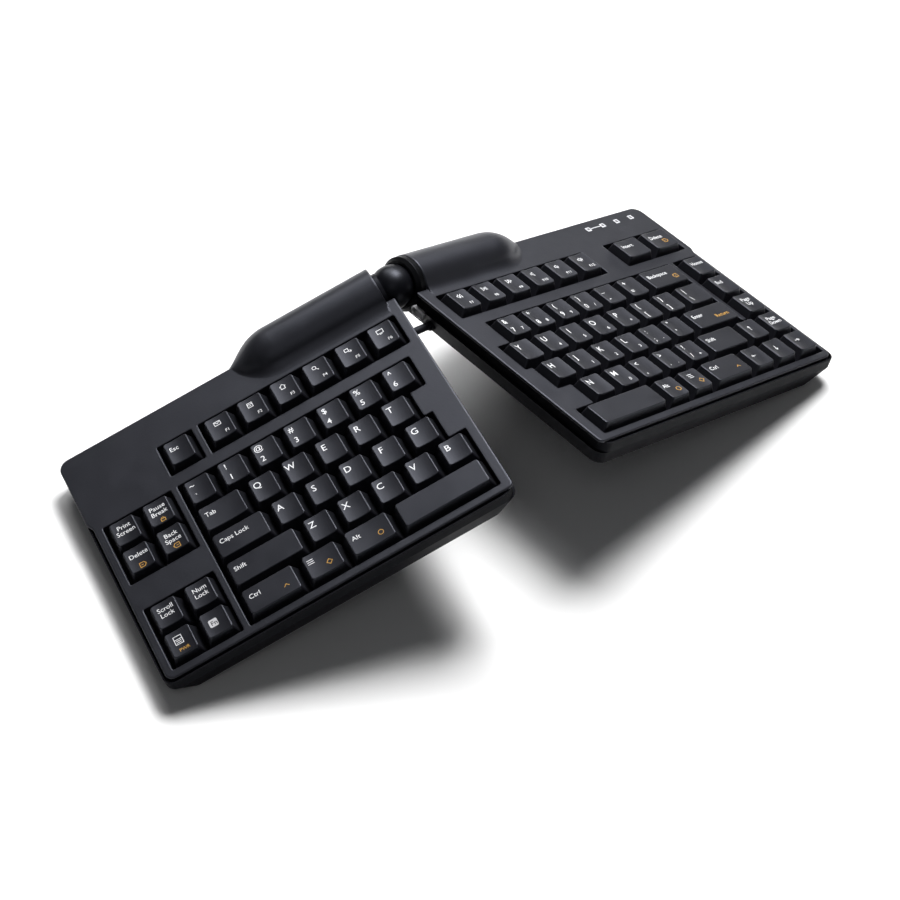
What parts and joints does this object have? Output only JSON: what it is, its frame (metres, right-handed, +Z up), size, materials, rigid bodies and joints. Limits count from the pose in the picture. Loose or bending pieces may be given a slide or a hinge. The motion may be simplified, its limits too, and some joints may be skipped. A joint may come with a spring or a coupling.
{
  "type": "split ergonomic keyboard",
  "caption": "Split ergonomic keyboard: two key halves on a ball hinge that tents and splays them.",
  "frame": {"origin": "centre of the overall bounding box at desk height, in the tented pose", "axes": "+X to the typist's right, +Y away from the typist, +Z up"},
  "size_m": [0.415, 0.179, 0.0845],
  "materials": {
    "case_plastic": "fine matt texture, charcoal black",
    "skirt_plastic": "fine matt texture, charcoal",
    "key_plastic": "satin, black, printed legends",
    "ball_plastic": "polished black",
    "collar_plastic": "satin black",
    "lever_plastic": "satin grey",
    "frame_plastic": "natural moulding",
    "rubber_black": "matt",
    "dome_rubber": "translucent silicone",
    "sheet_plastic": "clear film",
    "steel": "zinc plated",
    "board_laminate": "green solder mask",
    "window_plastic": "smoked clear"
  },
  "bodies": {
    "left_half": {"left_top_cover": "case_plastic", "left_bottom_cover": "skirt_plastic", "left_key_frame": "frame_plastic", "left_dome_sheet": "dome_rubber", "left_membrane": "sheet_plastic", "left_feet": "rubber_black", "left_screws": "steel", "left_cable_grommet": "rubber_black", "ball_stud": "ball_plastic", "link_cable": "rubber_black"},
    "tent_pad": {"socket_pad_inner": "sheet_plastic"},
    "splay_pad": {"socket_pad_outer": "sheet_plastic"},
    "right_half": {"right_top_cover": "case_plastic", "right_bottom_cover": "skirt_plastic", "right_key_frame": "frame_plastic", "right_dome_sheet": "dome_rubber", "right_membrane": "sheet_plastic", "right_feet": "rubber_black", "right_screws": "steel", "right_cable_grommet": "rubber_black", "socket_collar": "collar_plastic", "socket_seat": "collar_plastic", "tie_bolt": "steel", "tie_nut": "steel", "lever_pin": "steel", "controller_board": "board_laminate", "usb_inlet": "steel", "indicator_windows": "window_plastic"},
    "lock_lever": {"lock_lever": "lever_plastic"},
    "esc_key": {"esc_key": "key_plastic"},
    "left_function_keys": {"left_function_keys": "key_plastic"},
    "left_number_keys": {"left_number_keys": "key_plastic"},
    "tab_key": {"tab_key": "key_plastic"},
    "left_top_letter_keys": {"left_top_letter_keys": "key_plastic"},
    "caps_lock_key": {"caps_lock_key": "key_plastic"},
    "left_home_letter_keys": {"left_home_letter_keys": "key_plastic"},
    "left_shift_key": {"left_shift_key": "key_plastic"},
    "left_bottom_letter_keys": {"left_bottom_letter_keys": "key_plastic"},
    "left_ctrl_key": {"left_ctrl_key": "key_plastic"},
    "left_menu_key": {"left_menu_key": "key_plastic"},
    "left_alt_key": {"left_alt_key": "key_plastic"},
    "left_space_key": {"left_space_key": "key_plastic"},
    "edit_keys": {"edit_keys": "key_plastic"},
    "lock_keys": {"lock_keys": "key_plastic"},
    "right_function_keys": {"right_function_keys": "key_plastic"},
    "insert_delete_keys": {"insert_delete_keys": "key_plastic"},
    "right_number_keys": {"right_number_keys": "key_plastic"},
    "backspace_key": {"backspace_key": "key_plastic"},
    "right_top_letter_keys": {"right_top_letter_keys": "key_plastic"},
    "backslash_key": {"backslash_key": "key_plastic"},
    "right_home_letter_keys": {"right_home_letter_keys": "key_plastic"},
    "enter_key": {"enter_key": "key_plastic"},
    "right_bottom_letter_keys": {"right_bottom_letter_keys": "key_plastic"},
    "right_shift_key": {"right_shift_key": "key_plastic"},
    "right_space_key": {"right_space_key": "key_plastic"},
    "right_alt_key": {"right_alt_key": "key_plastic"},
    "right_menu_key": {"right_menu_key": "key_plastic"},
    "right_ctrl_key": {"right_ctrl_key": "key_plastic"},
    "arrow_keys": {"arrow_keys": "key_plastic"},
    "navigation_keys": {"navigation_keys": "key_plastic"}
  },
  "joints": [
    {"name": "tent_left", "type": "hinge", "parent": "left_half", "child": "tent_pad", "pos_m": [0, 0.06092, 0.07261], "axis": [0.1469, 0.9891, 0], "range_deg": [-18.3, 1.7], "deforming": ["link_cable"]},
    {"name": "splay", "type": "hinge", "parent": "tent_pad", "child": "splay_pad", "pos_m": [0, 0.06092, 0.07261], "axis": [0, 0, 1], "range_deg": [-16.9, 3.1], "deforming": ["link_cable"]},
    {"name": "tent_right", "type": "hinge", "parent": "splay_pad", "child": "right_half", "pos_m": [0, 0.06092, 0.07261], "axis": [-0.1469, 0.9891, 0], "range_deg": [-18.3, 1.7], "deforming": ["link_cable"]},
    {"name": "lock_lever", "type": "hinge", "parent": "right_half", "child": "lock_lever", "pos_m": [0.00451, 0.04552, 0.06619], "axis": [0.9391, 0.1395, -0.314], "range_deg": [0, 50]},
    {"name": "esc_key_press", "type": "slide", "parent": "left_half", "child": "esc_key", "axis": [0.3106, -0.0461, -0.9494], "range_m": [0, 0.0035], "stiffness_N_per_m": 170, "springref_m": -0.002, "deforming": ["left_dome_sheet"]},
    {"name": "left_function_keys_press", "type": "slide", "parent": "left_half", "child": "left_function_keys", "axis": [0.3106, -0.0461, -0.9494], "range_m": [0, 0.0035], "stiffness_N_per_m": 170, "springref_m": -0.002, "deforming": ["left_dome_sheet"]},
    {"name": "left_number_keys_press", "type": "slide", "parent": "left_half", "child": "left_number_keys", "axis": [0.3106, -0.0461, -0.9494], "range_m": [0, 0.0035], "stiffness_N_per_m": 170, "springref_m": -0.002, "deforming": ["left_dome_sheet"]},
    {"name": "tab_key_press", "type": "slide", "parent": "left_half", "child": "tab_key", "axis": [0.3106, -0.0461, -0.9494], "range_m": [0, 0.0035], "stiffness_N_per_m": 170, "springref_m": -0.002, "deforming": ["left_dome_sheet"]},
    {"name": "left_top_letter_keys_press", "type": "slide", "parent": "left_half", "child": "left_top_letter_keys", "axis": [0.3106, -0.0461, -0.9494], "range_m": [0, 0.0035], "stiffness_N_per_m": 170, "springref_m": -0.002, "deforming": ["left_dome_sheet"]},
    {"name": "caps_lock_key_press", "type": "slide", "parent": "left_half", "child": "caps_lock_key", "axis": [0.3106, -0.0461, -0.9494], "range_m": [0, 0.0035], "stiffness_N_per_m": 170, "springref_m": -0.002, "deforming": ["left_dome_sheet"]},
    {"name": "left_home_letter_keys_press", "type": "slide", "parent": "left_half", "child": "left_home_letter_keys", "axis": [0.3106, -0.0461, -0.9494], "range_m": [0, 0.0035], "stiffness_N_per_m": 170, "springref_m": -0.002, "deforming": ["left_dome_sheet"]},
    {"name": "left_shift_key_press", "type": "slide", "parent": "left_half", "child": "left_shift_key", "axis": [0.3106, -0.0461, -0.9494], "range_m": [0, 0.0035], "stiffness_N_per_m": 170, "springref_m": -0.002, "deforming": ["left_dome_sheet"]},
    {"name": "left_bottom_letter_keys_press", "type": "slide", "parent": "left_half", "child": "left_bottom_letter_keys", "axis": [0.3106, -0.0461, -0.9494], "range_m": [0, 0.0035], "stiffness_N_per_m": 170, "springref_m": -0.002, "deforming": ["left_dome_sheet"]},
    {"name": "left_ctrl_key_press", "type": "slide", "parent": "left_half", "child": "left_ctrl_key", "axis": [0.3106, -0.0461, -0.9494], "range_m": [0, 0.0035], "stiffness_N_per_m": 170, "springref_m": -0.002, "deforming": ["left_dome_sheet"]},
    {"name": "left_menu_key_press", "type": "slide", "parent": "left_half", "child": "left_menu_key", "axis": [0.3106, -0.0461, -0.9494], "range_m": [0, 0.0035], "stiffness_N_per_m": 170, "springref_m": -0.002, "deforming": ["left_dome_sheet"]},
    {"name": "left_alt_key_press", "type": "slide", "parent": "left_half", "child": "left_alt_key", "axis": [0.3106, -0.0461, -0.9494], "range_m": [0, 0.0035], "stiffness_N_per_m": 170, "springref_m": -0.002, "deforming": ["left_dome_sheet"]},
    {"name": "left_space_key_press", "type": "slide", "parent": "left_half", "child": "left_space_key", "axis": [0.3106, -0.0461, -0.9494], "range_m": [0, 0.0035], "stiffness_N_per_m": 170, "springref_m": -0.002, "deforming": ["left_dome_sheet"]},
    {"name": "edit_keys_press", "type": "slide", "parent": "left_half", "child": "edit_keys", "axis": [0.3106, -0.0461, -0.9494], "range_m": [0, 0.0035], "stiffness_N_per_m": 170, "springref_m": -0.002, "deforming": ["left_dome_sheet"]},
    {"name": "lock_keys_press", "type": "slide", "parent": "left_half", "child": "lock_keys", "axis": [0.3106, -0.0461, -0.9494], "range_m": [0, 0.0035], "stiffness_N_per_m": 170, "springref_m": -0.002, "deforming": ["left_dome_sheet"]},
    {"name": "right_function_keys_press", "type": "slide", "parent": "right_half", "child": "right_function_keys", "axis": [-0.3106, -0.0461, -0.9494], "range_m": [0, 0.0035], "stiffness_N_per_m": 170, "springref_m": -0.002, "deforming": ["right_dome_sheet"]},
    {"name": "insert_delete_keys_press", "type": "slide", "parent": "right_half", "child": "insert_delete_keys", "axis": [-0.3106, -0.0461, -0.9494], "range_m": [0, 0.0035], "stiffness_N_per_m": 170, "springref_m": -0.002, "deforming": ["right_dome_sheet"]},
    {"name": "right_number_keys_press", "type": "slide", "parent": "right_half", "child": "right_number_keys", "axis": [-0.3106, -0.0461, -0.9494], "range_m": [0, 0.0035], "stiffness_N_per_m": 170, "springref_m": -0.002, "deforming": ["right_dome_sheet"]},
    {"name": "backspace_key_press", "type": "slide", "parent": "right_half", "child": "backspace_key", "axis": [-0.3106, -0.0461, -0.9494], "range_m": [0, 0.0035], "stiffness_N_per_m": 170, "springref_m": -0.002, "deforming": ["right_dome_sheet"]},
    {"name": "right_top_letter_keys_press", "type": "slide", "parent": "right_half", "child": "right_top_letter_keys", "axis": [-0.3106, -0.0461, -0.9494], "range_m": [0, 0.0035], "stiffness_N_per_m": 170, "springref_m": -0.002, "deforming": ["right_dome_sheet"]},
    {"name": "backslash_key_press", "type": "slide", "parent": "right_half", "child": "backslash_key", "axis": [-0.3106, -0.0461, -0.9494], "range_m": [0, 0.0035], "stiffness_N_per_m": 170, "springref_m": -0.002, "deforming": ["right_dome_sheet"]},
    {"name": "right_home_letter_keys_press", "type": "slide", "parent": "right_half", "child": "right_home_letter_keys", "axis": [-0.3106, -0.0461, -0.9494], "range_m": [0, 0.0035], "stiffness_N_per_m": 170, "springref_m": -0.002, "deforming": ["right_dome_sheet"]},
    {"name": "enter_key_press", "type": "slide", "parent": "right_half", "child": "enter_key", "axis": [-0.3106, -0.0461, -0.9494], "range_m": [0, 0.0035], "stiffness_N_per_m": 170, "springref_m": -0.002, "deforming": ["right_dome_sheet"]},
    {"name": "right_bottom_letter_keys_press", "type": "slide", "parent": "right_half", "child": "right_bottom_letter_keys", "axis": [-0.3106, -0.0461, -0.9494], "range_m": [0, 0.0035], "stiffness_N_per_m": 170, "springref_m": -0.002, "deforming": ["right_dome_sheet"]},
    {"name": "right_shift_key_press", "type": "slide", "parent": "right_half", "child": "right_shift_key", "axis": [-0.3106, -0.0461, -0.9494], "range_m": [0, 0.0035], "stiffness_N_per_m": 170, "springref_m": -0.002, "deforming": ["right_dome_sheet"]},
    {"name": "right_space_key_press", "type": "slide", "parent": "right_half", "child": "right_space_key", "axis": [-0.3106, -0.0461, -0.9494], "range_m": [0, 0.0035], "stiffness_N_per_m": 170, "springref_m": -0.002, "deforming": ["right_dome_sheet"]},
    {"name": "right_alt_key_press", "type": "slide", "parent": "right_half", "child": "right_alt_key", "axis": [-0.3106, -0.0461, -0.9494], "range_m": [0, 0.0035], "stiffness_N_per_m": 170, "springref_m": -0.002, "deforming": ["right_dome_sheet"]},
    {"name": "right_menu_key_press", "type": "slide", "parent": "right_half", "child": "right_menu_key", "axis": [-0.3106, -0.0461, -0.9494], "range_m": [0, 0.0035], "stiffness_N_per_m": 170, "springref_m": -0.002, "deforming": ["right_dome_sheet"]},
    {"name": "right_ctrl_key_press", "type": "slide", "parent": "right_half", "child": "right_ctrl_key", "axis": [-0.3106, -0.0461, -0.9494], "range_m": [0, 0.0035], "stiffness_N_per_m": 170, "springref_m": -0.002, "deforming": ["right_dome_sheet"]},
    {"name": "arrow_keys_press", "type": "slide", "parent": "right_half", "child": "arrow_keys", "axis": [-0.3106, -0.0461, -0.9494], "range_m": [0, 0.0035], "stiffness_N_per_m": 170, "springref_m": -0.002, "deforming": ["right_dome_sheet"]},
    {"name": "navigation_keys_press", "type": "slide", "parent": "right_half", "child": "navigation_keys", "axis": [-0.3106, -0.0461, -0.9494], "range_m": [0, 0.0035], "stiffness_N_per_m": 170, "springref_m": -0.002, "deforming": ["right_dome_sheet"]}
  ]
}
